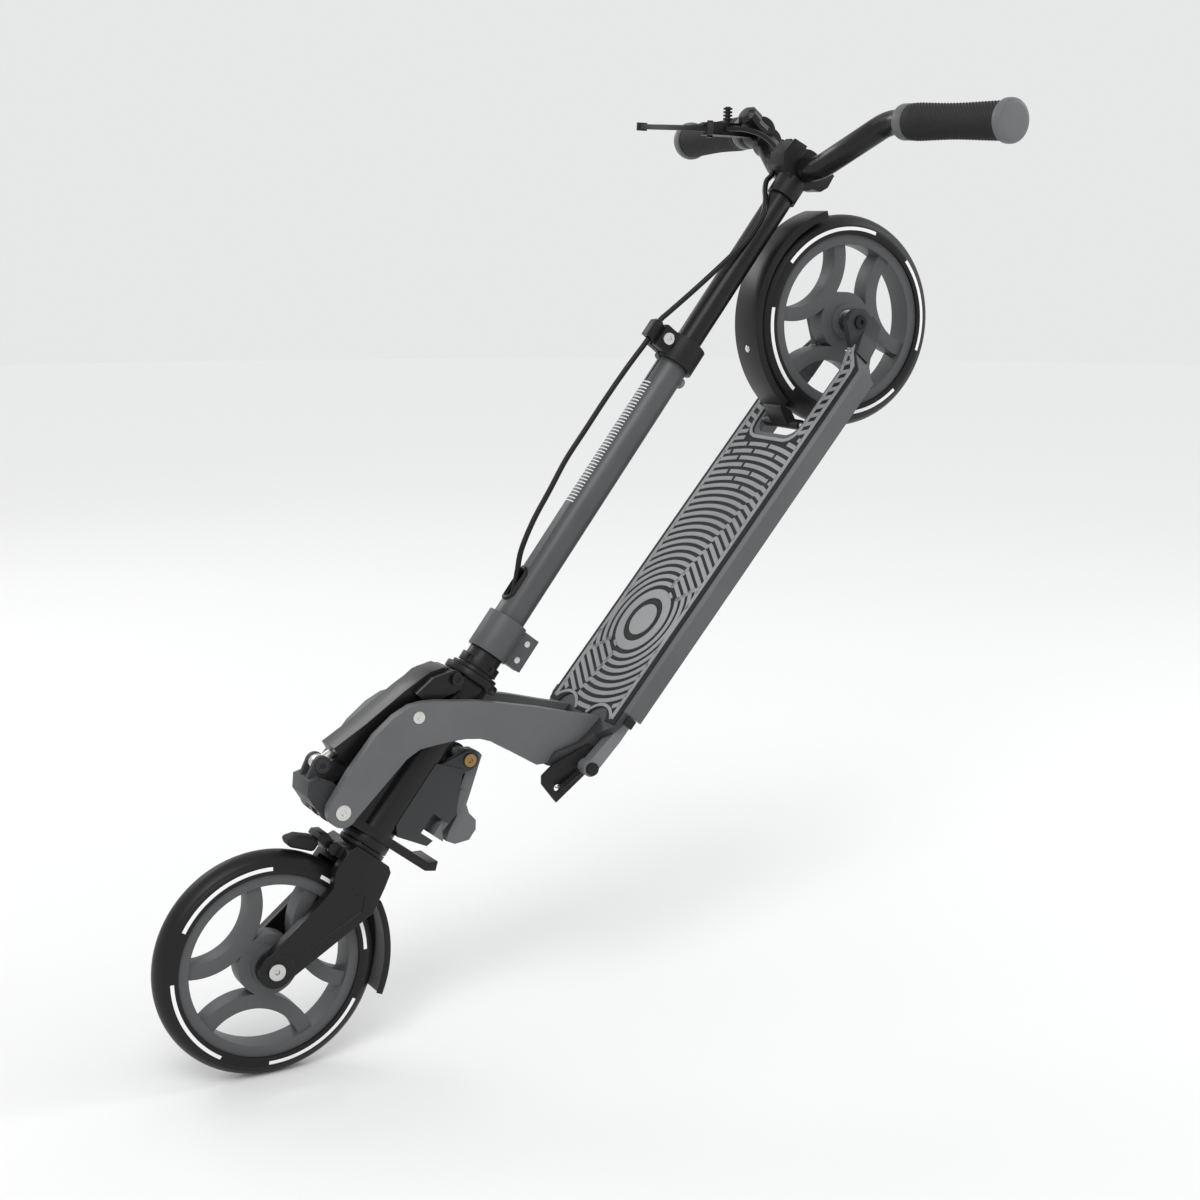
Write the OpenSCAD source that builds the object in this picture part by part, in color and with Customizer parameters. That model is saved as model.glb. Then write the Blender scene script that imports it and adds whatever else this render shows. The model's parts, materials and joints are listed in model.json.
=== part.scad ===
// Folding kick scooter with a telescopic T-bar, stored folded and standing on
// its front wheel. Millimetres. X runs to the rear, Y to the rider's right,
// Z up. The origin is where the front tyre touches the floor.
// Places on the stem are given as v (away from the steering axis, to the
// rear) and u (up the axis). Places on the deck are given as a (to the rear)
// and b (up), both from the fold pivot.

/* [Layout] */
// Slope of the stem above the floor, in degrees
stem_slope = 52.3; // [50:0.1:55]
// Distance of the front axle ahead of the steering axis
fork_offset = 18; // [16:0.5:20]
// Height of the fold pivot up the stem, above the front axle
pivot_u = 143; // [141:0.5:145]
// Distance of the fold pivot ahead of the steering axis
pivot_ahead = 50; // [49:0.5:52]
// Angle between the folded deck and the stem, in degrees
deck_gap = 2.6; // [2.4:0.1:4]

/* [Wheels] */
// Outer radius of both tyres
wheel_r = 100; // [99:0.5:100]
// Width of both tyres
tyre_w = 30; // [28:0.5:30]
// Radius of the wheel core under the tyre
core_r = 81.5; // [80:0.5:83]
// Width of the core's rim
core_w = 25; // [22:0.5:26]
// Width of the hub over both bearings
hub_w = 28; // [27:0.5:28]
// Radius of the axles
axle_r = 4; // [4:0.5:5]

/* [Fork and head] */
// Half the gap between the fork legs
leg_in = 17.5; // [17:0.5:18]
// Half the width over the fork legs
leg_out = 28; // [26:0.5:29]
// Radius of the steerer tube
steerer_r = 13.3; // [13:0.05:13.3]
// Radius of the head tube
head_r = 19.5; // [18:0.5:19.5]
// Running gap around the bearings and pins
run = 0.05; // [0.03:0.01:0.08]

/* [Stem] */
// Outer radius of the lower tube
lower_r = 15; // [15:0.5:15]
// Inner radius of the lower tube
lower_in = 13.4; // [13.35:0.05:13.5]
// Outer radius of the upper tube
upper_r = 12; // [11:0.5:12]
// Top end of the lower tube, up the stem
lower_top = 664; // [655:1:670]
// Height of the handlebar's middle, up the stem
bar_u = 866; // [866:1:875]

/* [Handlebar] */
// Outer radius of the handlebar
bar_r = 11.1; // [10.5:0.1:11.1]
// Half the width over the grips
bar_half = 256; // [240:1:260]
// Distance from the middle to the inner end of each grip
grip_start = 122; // [120:1:126]

/* [Deck] */
// Half the width of the deck
deck_half = 65; // [64:0.5:66]
// Depth of the deck's side walls
deck_depth = 20; // [19:0.5:21]
// Distance of the rear axle behind the fold pivot
axle_a = 650; // [648:1:655]
// Depth of the rear axle below the fold pivot
axle_drop = 146; // [145:0.5:147]
// Depth of the deck's top below the fold pivot
top_drop = 157; // [156:0.5:158]
// Half the width of the slot for the rear wheel
slot_half = 33; // [32:0.5:34]

/* [Hidden] */
$fn = 64;

// Wheels
hub_r = 17;
bearing_r = 11;
bearing_w = 7;
sleeve_r = 6;
rim_in = 72;
spoke_count = 3;
arch_at = 85;
arch_in = 46;
arch_out = 59;
core_web = 19;
wheel_gap = 0.1;

// Fork: the crown sits between these heights, and the legs run down from it
crown_low = 108;
crown_top = 125;
crown_front = -22;
crown_back = 27;
crown_outline = [[crown_front, 118], [-18, crown_top], [19, crown_top], [24, 121], [crown_back, crown_low]];
leg_outline = concat([[-33, 0], [-17, 68], [-15, 84], [crown_front, 97]], crown_outline, [[31, 84], [-3, -2]]);
leg_recess = [[-21, 17], [-10, 62], [0, 88], [15, 92], [21, 80], [-8, 14]];
brake_pin_v = -29;
brake_pin_u = 113;
brake_pin_r = 2.5;
steerer_in = 11;
steerer_top = 372;
race_top = 129;

// Head tube and the two wings that carry the fold pivot
head_low = 138;
head_high = 300;
cup_r = 26;
wing_in = 6;
wing_out = 11.5;
pivot_v = -pivot_ahead;
pin_r = 8;
pin_half = 31;
wing_outline = [[pivot_v, 129], [-25, head_low], [-10, head_low], [-10, 206], [-26, 200], [-63, 150]];

// Stem fittings
collar_low = 329;
collar_high = 365;
collar_r = 19.2;
fin_back = 35.5;
fin_bolt_v = 26.5;
port_low = 386;
port_high = 404;
clamp_low = 643;
clamp_high = 668;
clamp_bolt_v = -25;
clamp_bolt_u = 656;
button_u = 635;
cable_r = 2.5;
clip_v = -36;

// T-bar
upper_low = 440;
upper_top = 850;
socket_r = 14.2;
grip_r = 16.5;
bell_y = 78;

// Strut between the rocker and the head tube
rod_v = -79.5;
rod_u = 166.8;
strut_v = -23.5;
strut_u = 292.5;
strut_len = norm([strut_v - rod_v, strut_u - rod_u]);
strut_lean = atan2(strut_v - rod_v, strut_u - rod_u);
rod_r = 5;
strut_half = 14.5;

// Latch
latch_v = 35;
latch_u = 241;
housing_half = 18.5;

// Arms
arm_in = 24;
arm_out = 34;
stud_a = 103.4;
stud_b = -6.3;
stud_r = 4.5;
stud_head_r = 5.6;
pivot_head_r = 7;
arm_boss = 13.5;
arm_outline = [[-4, arm_boss], [30, 17], [69, 17], [92, 12.5], [107, 6], [116, -2], [124, -12], [132, -24], [145, -43],
    [157, -65], [175, -99], [190, -131], [203, -top_drop], [150, -150], [133, -130],
    [129, -104], [127, -84], [121, -68], [113, -56], [104, -46], [94, -36],
    [82, -25], [68, -20], [3, -arm_boss]];

// Deck
deck_b = -top_drop;
deck_front = 216;
deck_end = 604;
wall = 3.5;
tape_t = 1.2;
tape_half = 61;
slot_front = 523;
slot_corner = 15;
stay_plan = [[deck_end - 0.5, slot_half], [deck_end, slot_half], [622, 25], [636, 20.5], [656, 20], [656, 25],
    [640, 30], [622, 42], [deck_end, deck_half - 3], [deck_end - 0.5, deck_half - 3]];
axle_b = -axle_drop;
fender_in = 104.2;
fender_t = 3;
fender_half = 18;
hinge_a = 538;
hinge_b = -160;
stand_a = 158;
stand_b = -166;
stand_plate = [[116, -164], [121, -141], [127, -136], [142, -139], [176, -157], [176, -174], [151, -172]];

// Points of the brake cable as [v, y, u]
cable_top = [[-44, 86.5, 883], [-37, 70, 887.5], [-27.5, 52, 888], [-19, 37, 883], [-13, 24, 874.5],
    [-14, 18.5, 864], [-13.5, 14.5, 851], [-17.5, 9, 840], [-17, 3, 830], [-14.5, -5, 819],
    [-11.5, -10, 804], [-12, -11, 777], [-17.5, -9, 748], [-26, -4.5, 709], [-33, -1, 680],
    [clip_v, 0, 668], [clip_v, 0, 656]];
cable_low = [[clip_v, 0, 655.7], [clip_v, 0, 642], [-38, 0, 612], [-39, 0, 577], [-39, 0, 544],
    [-39, 0, 512], [-36, 0, 482], [-33, 0, 450], [-27, 0, 422], [-19, 0, 405],
    [-12, 0, 390], [-7, 0, 370], [-6, 0, 340], [-6, 0, 220], [-6, 0, 109]];

// Half of the handlebar's centre line as [v, y, u], from its middle outwards
bar_points = [[0, 0, bar_u], [0, 30, bar_u], [-5, 103, bar_u + 46.5], [8, bar_half - 3, bar_u + 51]];
bar_bend = 42;

// ---- frames -----------------------------------------------------------

// Stem frame: z runs up the steering axis from beside the front axle, x to the rear
module stem_frame() {
    translate([0, 0, wheel_r]) rotate([0, 90 - stem_slope, 0]) translate([fork_offset, 0, 0]) children();
}

// Deck frame: x runs to the rear and z up, from the fold pivot
module deck_frame() {
    stem_frame() translate([pivot_v, 0, pivot_u]) rotate([0, deck_gap - 90, 0]) children();
}

// Strut frame: z runs from the rod's pin to the strut's top screws
module strut_frame() {
    stem_frame() translate([rod_v, 0, rod_u]) rotate([0, strut_lean, 0]) children();
}

// Lever frame: x runs from the handlebar out to the lever's pivot
lever_lean = 144.4;
lever_y = 104;
module lever_frame() {
    stem_frame() translate([-5, lever_y, bar_u + 45]) rotate([0, lever_lean, 0]) children();
}

// ---- helpers ----------------------------------------------------------

// A flat outline in the side view, extruded from y0 to y1
module side_plate(y0, y1) {
    translate([0, y1, 0]) rotate([90, 0, 0]) linear_extrude(height = y1 - y0) children();
}

// A cylinder across the scooter, from y0 to y1
module cross_pin(r, y0, y1) {
    translate([0, y1, 0]) rotate([90, 0, 0]) cylinder(r = r, h = y1 - y0);
}

module both_sides() {
    children();
    mirror([0, 1, 0]) children();
}

module ring(r_out, r_in, h) {
    difference() {
        cylinder(r = r_out, h = h);
        translate([0, 0, -1]) cylinder(r = r_in, h = h + 2);
    }
}

module cross_ring(r_out, r_in, y0, y1) {
    difference() {
        cross_pin(r_out, y0, y1);
        cross_pin(r_in, y0 - 1, y1 + 1);
    }
}

// A round bar from p to q
module rod_between(p, q, r) {
    d = q - p;
    translate(p) rotate([0, acos(d[2] / norm(d)), atan2(d[1], d[0])]) cylinder(r = r, h = norm(d));
}

// Points on a smooth curve through the given points
function curve_point(a, b, c, d, t) =
    0.5 * (2 * b + (c - a) * t + (2 * a - 5 * b + 4 * c - d) * t * t + (3 * b - a - 3 * c + d) * t * t * t);
function curve(p, steps) = [
    for (i = [0 : len(p) - 2]) let (a = p[max(i - 1, 0)], d = p[min(i + 2, len(p) - 1)])
        for (k = [0 : steps - 1]) curve_point(a, p[i], p[i + 1], d, k / steps),
    p[len(p) - 1]
];
function unit(v) = v / norm(v);

// A round cord through the given points, with eight sides
module cord(points, r) {
    sides = 8;
    last = len(points) - 1;
    rings = [for (i = [0 : last])
        let (t = unit(points[min(i + 1, last)] - points[max(i - 1, 0)]),
             s = unit(cross(t, [0.1, 1, 0])), w = cross(s, t))
        for (k = [0 : sides - 1]) points[i] + r * (cos(k * 360 / sides) * s + sin(k * 360 / sides) * w)];
    skin = [for (i = [0 : last - 1]) for (k = [0 : sides - 1])
        let (a = i * sides + k, b = i * sides + (k + 1) % sides) [a, b, b + sides, a + sides]];
    polyhedron(rings, concat([[for (k = [sides - 1 : -1 : 0]) k]], skin,
        [[for (k = [0 : sides - 1]) last * sides + k]]));
}

// ---- wheels -----------------------------------------------------------

module tyre() {
    rotate([90, 0, 0]) rotate_extrude($fn = 96) intersection() {
        translate([wheel_r - tyre_w / 2, 0]) circle(r = tyre_w / 2);
        translate([core_r, -tyre_w / 2]) square([wheel_r - core_r, tyre_w]);
    }
}

// Rim, hub and three U-shaped arches, which leave six windows
module core() {
    difference() {
        union() {
            cross_ring(core_r, rim_in, -core_w / 2, core_w / 2);
            cross_pin(hub_r, -hub_w / 2, hub_w / 2);
            side_plate(-core_web / 2, core_web / 2) difference() {
                circle(r = rim_in + 1, $fn = 96);
                for (k = [0 : spoke_count - 1]) rotate(k * 360 / spoke_count) translate([arch_at, 0])
                    circle(r = arch_in);
                difference() {
                    circle(r = rim_in, $fn = 96);
                    circle(r = hub_r + 10.5);
                    for (k = [0 : spoke_count - 1]) rotate(k * 360 / spoke_count) translate([arch_at, 0])
                        circle(r = arch_out);
                }
            }
        }
        both_sides() cross_pin(bearing_r, hub_w / 2 - bearing_w, hub_w / 2 + 1);
        cross_pin(bearing_r - 2, -hub_w, hub_w);
    }
}

// Two ball bearings with the sleeve that keeps them apart
module bearings() {
    both_sides() cross_ring(bearing_r, axle_r + run, hub_w / 2 - bearing_w, hub_w / 2);
    cross_ring(sleeve_r, axle_r + run, bearing_w - hub_w / 2, hub_w / 2 - bearing_w);
}

// A bolt through the hub with shoulders that centre the wheel
module axle(inner, outer, head_r) {
    cross_pin(axle_r, -outer, outer);
    both_sides() cross_pin(sleeve_r, hub_w / 2 + wheel_gap, inner);
    difference() {
        both_sides() cross_pin(head_r, outer, outer + 3);
        translate([0, -outer, 0]) rotate([90, 30, 0]) cylinder(r = 2.6, h = 4, $fn = 6);
    }
}

module at_front_axle() stem_frame() translate([-fork_offset, 0, 0]) children();
module at_rear_axle() deck_frame() translate([axle_a, 0, axle_b]) children();

front_turn = 65;
rear_turn = 35;
module front_tyre() color("#161616") at_front_axle() tyre();
module front_core() color("#6a6c6e") at_front_axle() rotate([0, front_turn, 0]) core();
module front_bearings() color("silver") at_front_axle() bearings();
module front_axle() color("silver") at_front_axle() axle(leg_in, leg_out, 7.5);
module rear_tyre() color("#161616") at_rear_axle() tyre();
module rear_core() color("#6a6c6e") at_rear_axle() rotate([0, rear_turn, 0]) core();
module rear_bearings() color("silver") at_rear_axle() bearings();
module rear_axle() color("silver") at_rear_axle() axle(19.5, 33, 6.5);

// ---- fork and front brake ------------------------------------------------

module fork() color("#242425") stem_frame() difference() {
    union() {
        both_sides() side_plate(leg_in, leg_out) {
            polygon(leg_outline);
            translate([-fork_offset, 0]) circle(r = 15.5);
        }
        side_plate(-leg_out, leg_out) polygon(concat([[crown_front, crown_low]], crown_outline));
        both_sides() side_plate(12, leg_in) {
            translate([brake_pin_v, brake_pin_u]) circle(r = 6);
            translate([brake_pin_v, brake_pin_u - 5]) square([9, 10]);
        }
        translate([brake_pin_v, 0, brake_pin_u]) cross_pin(brake_pin_r, -leg_in, leg_in);
    }
    translate([0, 0, 90]) cylinder(r = steerer_r, h = 40);
    translate([-fork_offset, 0, 0]) cross_pin(axle_r, -40, 40);
    both_sides() side_plate(leg_out - 1.5, leg_out + 1) polygon(leg_recess);
}

module steerer() color("#2c2c2d") stem_frame() translate([0, 0, crown_low])
    ring(steerer_r, steerer_in, steerer_top - crown_low);

module brake_arm() color("#1f1f20") stem_frame() difference() {
    union() {
        translate([brake_pin_v, 0, brake_pin_u]) cross_pin(6, -11.5, 11.5);
        side_plate(-11.5, 11.5) polygon([[-32, 118], [-40, 121], [-46, 117], [-46, 112.5], [-30, 107.5]]);
        side_plate(-6, 6) polygon([[-30, 107.2], [-24, 107.5], [-6, 105], [-6, 102.8], [-30, 103]]);
    }
    translate([brake_pin_v, 0, brake_pin_u]) cross_pin(brake_pin_r + run, -12, 12);
}

module brake_pad() color("#2f2f30") stem_frame() side_plate(-9, 9)
    polygon([[-40, 101], [-62, 93.5], [-68, 98], [-61, 106], [-46, 112.5], [-40, 110.2]]);

module front_mudguard() color("#202021") stem_frame() {
    translate([-fork_offset, 0, 0]) rotate([90, 0, 0]) rotate([0, 0, 14]) rotate_extrude(angle = 46, $fn = 96) {
        translate([108, -16.5]) square([2.5, 33]);
        translate([105, 15]) square([3, 1.5]);
        translate([105, -16.5]) square([3, 1.5]);
    }
    side_plate(-8, 8) polygon([[17, crown_low], [crown_back, crown_low], [39, 94.5], [35.6, 93], [27, 102]]);
}

// ---- head tube, wings, headset ------------------------------------------

module head_tube() color("#1c1c1d") stem_frame() difference() {
    union() {
        translate([0, 0, head_low]) cylinder(r = head_r, h = head_high - head_low);
        both_sides() side_plate(wing_in, wing_out) {
            polygon(wing_outline);
            translate([pivot_v, pivot_u]) circle(r = 14);
        }
        side_plate(-housing_half, housing_half) polygon([[-30, head_low], [-30, head_low + 8], [56, head_low + 8],
            [63, head_low + 13], [66, head_low + 5], [57, head_low]]);
        both_sides() {
            translate([strut_v, 0, strut_u]) cross_pin(7, 10, 20.1);
            side_plate(10, 18) translate([strut_v, strut_u - 6]) square([16, 12]);
        }
    }
    translate([0, 0, head_low - 1]) cylinder(r = 16, h = head_high - head_low + 2);
    translate([pivot_v, 0, pivot_u]) cross_pin(pin_r + run, -20, 20);
    both_sides() translate([strut_v, 0, strut_u]) cross_pin(2.5, 9, 21);
}

module headset_cups() color("#2b2b2c") stem_frame() {
    translate([0, 0, race_top + 0.4]) ring(22, steerer_r + wheel_gap, head_low - race_top - 0.4);
    translate([0, 0, head_high]) ring(cup_r, steerer_r + wheel_gap, 7);
}

// Lower race on the crown, then the washer and the notched nuts above the head tube
module headset_nuts() color("#303031") stem_frame() difference() {
    union() {
        translate([0, 0, crown_top]) cylinder(r = 22, h = race_top - crown_top);
        translate([0, 0, 307.4]) cylinder(r = 22, h = 3);
        translate([0, 0, 310.4]) cylinder(r = 17, h = 2);
        translate([0, 0, 312.4]) cylinder(r = 19, h = 8);
        translate([0, 0, 320.4]) cylinder(r = 16, h = collar_low - 320.4);
    }
    translate([0, 0, crown_low]) cylinder(r = steerer_r, h = 240);
    for (k = [0 : 5]) rotate(k * 60 + 30) translate([17, -3, 314]) cube([4, 6, 5]);
}

// ---- stem -----------------------------------------------------------------

module lower_tube() color("#626466") stem_frame() difference() {
    translate([0, 0, collar_low]) ring(lower_r, lower_in, lower_top - collar_low);
    translate([-lower_r - 5, -1.3, 612]) cube([lower_r + 5, 2.6, 100]);
    for (u = [port_low, port_high]) translate([-lower_r - 5, 0, u]) rotate([0, 90, 0]) cylinder(r = 5.5, h = 15);
    translate([-lower_r - 5, -5.5, port_low]) cube([15, 11, port_high - port_low]);
    translate([5, 0, button_u]) rotate([0, 90, 0]) cylinder(r = 5 + run, h = 20);
}

module stem_collar() color("#5b5d5f") stem_frame() difference() {
    union() {
        translate([0, 0, collar_low]) cylinder(r = collar_r, h = collar_high - collar_low);
        both_sides() side_plate(1.2, 6.5) translate([12, 331]) square([fin_back - 12, 33]);
    }
    translate([0, 0, collar_low - 1]) cylinder(r = lower_r, h = 60);
    translate([10, -1.2, collar_low - 1]) cube([12, 2.4, 60]);
    for (u = [339, 356]) translate([fin_bolt_v, 0, u]) cross_pin(3, -10, 10);
}

module stem_bolts() color("silver") stem_frame() {
    for (u = [339, 356]) translate([fin_bolt_v, 0, u]) cross_pin(3, -7, 7);
    translate([clamp_bolt_v, 0, clamp_bolt_u]) {
        cross_pin(3, -9.5, 9.5);
        difference() {
            cross_pin(5.5, -14, -9.5);
            translate([0, -12, 0]) rotate([90, 0, 0]) cylinder(r = 3, h = 4, $fn = 6);
        }
        cross_pin(5, 9.5, 12);
    }
}

// Rubber lip around the cable's port, resting on the tube's front
module cable_grommet() color("#141415") stem_frame() difference() {
    intersection() {
        translate([0, 0, port_low - 10]) ring(lower_r + 1.5, lower_r, port_high - port_low + 20);
        union() {
            for (u = [port_low, port_high]) translate([-20, 0, u]) rotate([0, 90, 0]) cylinder(r = 8.5, h = 15);
            translate([-20, -8.5, port_low]) cube([15, 17, port_high - port_low]);
        }
    }
    for (u = [port_low, port_high]) translate([-20, 0, u]) rotate([0, 90, 0]) cylinder(r = 5.5, h = 15);
    translate([-20, -5.5, port_low]) cube([15, 11, port_high - port_low]);
}

module guide_bush() color("#d8d8d4") stem_frame() translate([0, 0, 641])
    ring(lower_in, upper_r + run, lower_top - 641);

module height_clamp() color("#1e1e1f") stem_frame() difference() {
    union() {
        translate([0, 0, clamp_low]) cylinder(r = collar_r, h = clamp_high - clamp_low);
        side_plate(-9.5, 9.5) translate([-31, clamp_low + 2]) square([20, clamp_high - clamp_low - 3]);
    }
    translate([0, 0, clamp_low - 1]) cylinder(r = lower_r, h = lower_top - clamp_low + 1);
    translate([0, 0, clamp_low]) cylinder(r = upper_r + 0.5, h = 40);
    translate([-40, -1.3, clamp_low - 1]) cube([40, 2.6, 40]);
    translate([clamp_bolt_v, 0, clamp_bolt_u]) cross_pin(3, -20, 20);
}

module height_button() color("#808284") stem_frame() translate([14.6, 0, button_u]) rotate([0, 90, 0]) {
    cylinder(r = 5, h = 3.6);
    translate([0, 0, 3.6]) cylinder(r1 = 5, r2 = 3.4, h = 1.6, $fn = 48);
}

module cable_clip() color("#1a1a1b") stem_frame() difference() {
    side_plate(-5, 5) polygon([[-42, 648], [-31, 648], [-31, 664], [-38, 668], [-42, 664]]);
    rod_between([clip_v, 0, 640], [clip_v, 0, 672], cable_r + 0.6);
}

module lower_cable() color("#121213") stem_frame() cord(curve(cable_low, 5), cable_r);

// ---- T-bar ------------------------------------------------------------------

module upper_tube() color("#1b1b1c") stem_frame() translate([0, 0, upper_low])
    ring(upper_r, upper_r - 1.6, upper_top - upper_low);

module clamp_blank() {
    translate([0, 0, bar_u]) cross_pin(19, -11.5, 11.5);
    translate([0, 0, bar_u - 32]) cylinder(r = socket_r, h = 20);
    side_plate(-11, 11) polygon([[-29, bar_u - 2], [-27, bar_u + 15], [-12, bar_u + 18], [-10, bar_u - 14],
        [-23, bar_u - 11]]);
    side_plate(-11, 11) polygon([[8, bar_u - 13], [26, bar_u - 5], [30, bar_u + 3], [29, bar_u + 16],
        [8, bar_u + 18]]);
}

module clamp_bores() {
    translate([0, 0, bar_u]) cross_pin(bar_r, -30, 30);
    translate([0, 0, bar_u - 40]) cylinder(r = upper_r, h = upper_top - bar_u + 40);
    for (side = [-1, 1]) translate([0, side * 7, bar_u + 14.5]) rotate([0, 90, 0])
        translate([0, 0, -40]) cylinder(r = 2.5, h = 80);
}

clamp_split = -9;
module bar_clamp() color("#222223") stem_frame() difference() {
    clamp_blank();
    clamp_bores();
    translate([clamp_split - 40, -20, bar_u - 11.9]) cube([40, 40, 40]);
}

module clamp_cap() color("#2a2a2b") stem_frame() difference() {
    clamp_blank();
    clamp_bores();
    translate([clamp_split - 0.3, -20, bar_u - 40]) cube([60, 40, 80]);
    translate([-40, -20, bar_u - 40]) cube([60, 40, 28.3]);
}

module clamp_screws() color("#3c3c3d") stem_frame() for (side = [-1, 1])
    translate([-24, side * 7, bar_u + 14.5]) rotate([0, 90, 0]) cylinder(r = 2.5, h = 50);

// A tube bent through the given points with round elbows, a hair thinner than the
// straight runs, which overlap them by half a millimetre
module bent_bar(p, r, bend) {
    last = len(p) - 1;
    d = [for (i = [0 : last - 1]) unit(p[i + 1] - p[i])];
    cut = [for (i = [0 : last]) i == 0 || i == last ? 0 : bend * tan(acos(d[i - 1] * d[i]) / 2)];
    for (i = [0 : last - 1]) rod_between(p[i] + (cut[i] - 0.5) * d[i], p[i + 1] + (0.5 - cut[i + 1]) * d[i], r);
    for (i = [1 : last - 1]) {
        n = unit(d[i] - (d[i] * d[i - 1]) * d[i - 1]);
        c = p[i] - cut[i] * d[i - 1] + bend * n;
        x = -n;
        y = d[i - 1];
        z = cross(x, y);
        multmatrix([[x[0], y[0], z[0], c[0]], [x[1], y[1], z[1], c[1]], [x[2], y[2], z[2], c[2]], [0, 0, 0, 1]])
            rotate_extrude(angle = acos(d[i - 1] * d[i]), $fn = 96) translate([bend, 0]) circle(r = r - 0.02);
    }
}

// Grip frame: z runs outwards along one straight end of the handlebar
grip_from = bar_points[2] + 15.2 * unit(bar_points[3] - bar_points[2]);
module grip_frame(side) {
    d = unit(bar_points[3] - bar_points[2]);
    stem_frame() mirror([0, side < 0 ? 1 : 0, 0]) translate(grip_from)
        rotate([0, acos(d[2]), atan2(d[1], d[0])]) children();
}

module handlebar() color("#1a1a1b") difference() {
    stem_frame() union() {
        bent_bar(bar_points, bar_r, bar_bend);
        mirror([0, 1, 0]) bent_bar(bar_points, bar_r, bar_bend);
    }
    for (side = [-1, 1]) grip_frame(side) cylinder(r = bar_r - 1.6, h = 200);
}

grip_len = bar_half - grip_start;

module grip(side) grip_frame(side) translate([0, 0, 16]) ring(grip_r, bar_r, grip_len - 21);
module grips() color("#2a2a2c") for (side = [-1, 1]) grip(side);

module grip_rings() color("#6f7173") for (side = [-1, 1]) grip_frame(side) translate([0, 0, 4])
    ring(16, bar_r, 12);

module grip_caps() color("#7b7d7f") for (side = [-1, 1]) grip_frame(side) translate([0, 0, grip_len - 5]) {
    ring(19, bar_r, 7.2);
    translate([0, 0, 7.2]) cylinder(r1 = 19, r2 = 16, h = 2.6, $fn = 48);
}

// ---- brake lever, bell and cable at the right grip -------------------------------

pivot_x = 56;
blade_rise = 3.3;
module lever_clamp() color("#19191a") difference() {
    lever_frame() union() {
        cross_pin(15, -8, 8);
        translate([0, 0, -6]) linear_extrude(height = 12)
            polygon([[8, -8], [46, -17], [62, -16], [62, 8], [48, 10], [8, 8]]);
        translate([pivot_x, 0, -6]) cylinder(r = 8, h = 12);
        translate([44, -12, -21]) cylinder(r = 2.5, h = 16);
        for (k = [0 : 3]) translate([44, -12, -20 + 3.2 * k]) cylinder(r = 4.4, h = 1.6);
    }
    lever_frame() translate([46, -4.5, -3.2]) cube([30, 40, 6.4]);
    lever_frame() translate([pivot_x, 0, -10]) cylinder(r = 3, h = 20);
    stem_frame() bent_bar(bar_points, bar_r, bar_bend);
}

module brake_blade() color("#1d1d1e") lever_frame() difference() {
    union() {
        translate([pivot_x, 0, -8]) cylinder(r = 3 - run, h = 16);
        translate([pivot_x, 0, -3]) cylinder(r = 4.4, h = 6);
        rotate([-blade_rise, 0, 0]) translate([0, 0, -2.5]) linear_extrude(height = 5) polygon([[52, 2], [60, -2], [67, 12], [69, 34],
            [64, 74], [56, 112], [53, 140], [46, 140], [49, 108], [57, 72], [61, 36], [57, 14]]);
        rotate([-blade_rise, 0, 0]) translate([49.5, 141, -4]) cylinder(r = 5.5, h = 8);
    }
}

module bell() color("#151516") stem_frame() {
    difference() {
        union() {
            translate([-4.2, 0, bar_u + 32]) cross_pin(14, 73, 83);
            translate([-36, bell_y, bar_u + 37]) rotate([0, 90, 0]) cylinder(r = 7, h = 22);
            translate([-38, bell_y, bar_u + 37]) rotate([0, 90, 0]) cylinder(r = 11, h = 10);
            translate([-42, bell_y, bar_u + 37]) rotate([0, 90, 0]) cylinder(r1 = 7, r2 = 11, h = 4, $fn = 48);
        }
        bent_bar(bar_points, bar_r, bar_bend);
    }
}

module upper_cable() color("#121213") stem_frame() cord(curve(cable_top, 4), cable_r);

// ---- latch -------------------------------------------------------------------------

module latch_housing() color("#4a4b4d") stem_frame() difference() {
    union() {
        side_plate(-housing_half, housing_half) polygon([[8, 222], [34, 231], [53, 194], [50, 172],
            [45, 157], [15, 150], [8, 158]]);
        both_sides() side_plate(12, 17) {
            translate([latch_v, latch_u]) circle(r = 9);
            polygon([[14, 224], [27, 245], [43, 236], [36, 226]]);
        }
    }
    translate([0, 0, head_low]) cylinder(r = head_r, h = 200);
    side_plate(-14.5, 14.5) polygon([[30, 234], [27, 165], [70, 165], [70, 234]]);
    side_plate(-40, 40) polygon([[33, 184], [33, 164], [70, 164], [70, 184]]);
    translate([latch_v, 0, latch_u]) cross_pin(4, -30, 30);
}

module latch_pin() color("#8a7a55") stem_frame() translate([latch_v, 0, latch_u]) {
    cross_pin(4, -17, 17);
    difference() {
        both_sides() cross_pin(6, 17, 19.5);
        translate([0, -18, 0]) rotate([90, 0, 0]) cylinder(r = 2.2, h = 3, $fn = 6);
    }
}

// The pedal, and inside the housing the two teeth that hold the arms' studs
module latch_pedal() color("#7d7f82") stem_frame() difference() {
    union() {
        side_plate(-11.5, 11.5) {
            translate([latch_v, latch_u]) circle(r = 7);
            polygon([[35, 247], [42, 252], [46, 251], [57, 217], [60, 207], [67, 202], [77, 200], [82, 193],
                [82, 182], [72, 172], [63, 170], [60, 178], [58, 194], [48, 206], [40, 236]]);
        }
        side_plate(-13.5, 13.5) polygon([[46, 216], [53, 214], [55, 190], [52, 168], [45, 168], [46, 190]]);
        side_plate(-19.6, 19.6) polygon([[44, 181], [44, 168], [56, 168]]);
    }
    translate([latch_v, 0, latch_u]) cross_pin(4 + run, -20, 20);
}

module latch_spring() color("#9a9a9a") stem_frame() for (k = [0 : 3])
    translate([30.5 + 2.6 * k, 0, 200]) rotate([0, 90, 0]) rotate_extrude($fn = 24) translate([4.5, 0]) circle(r = 0.8, $fn = 16);

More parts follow.
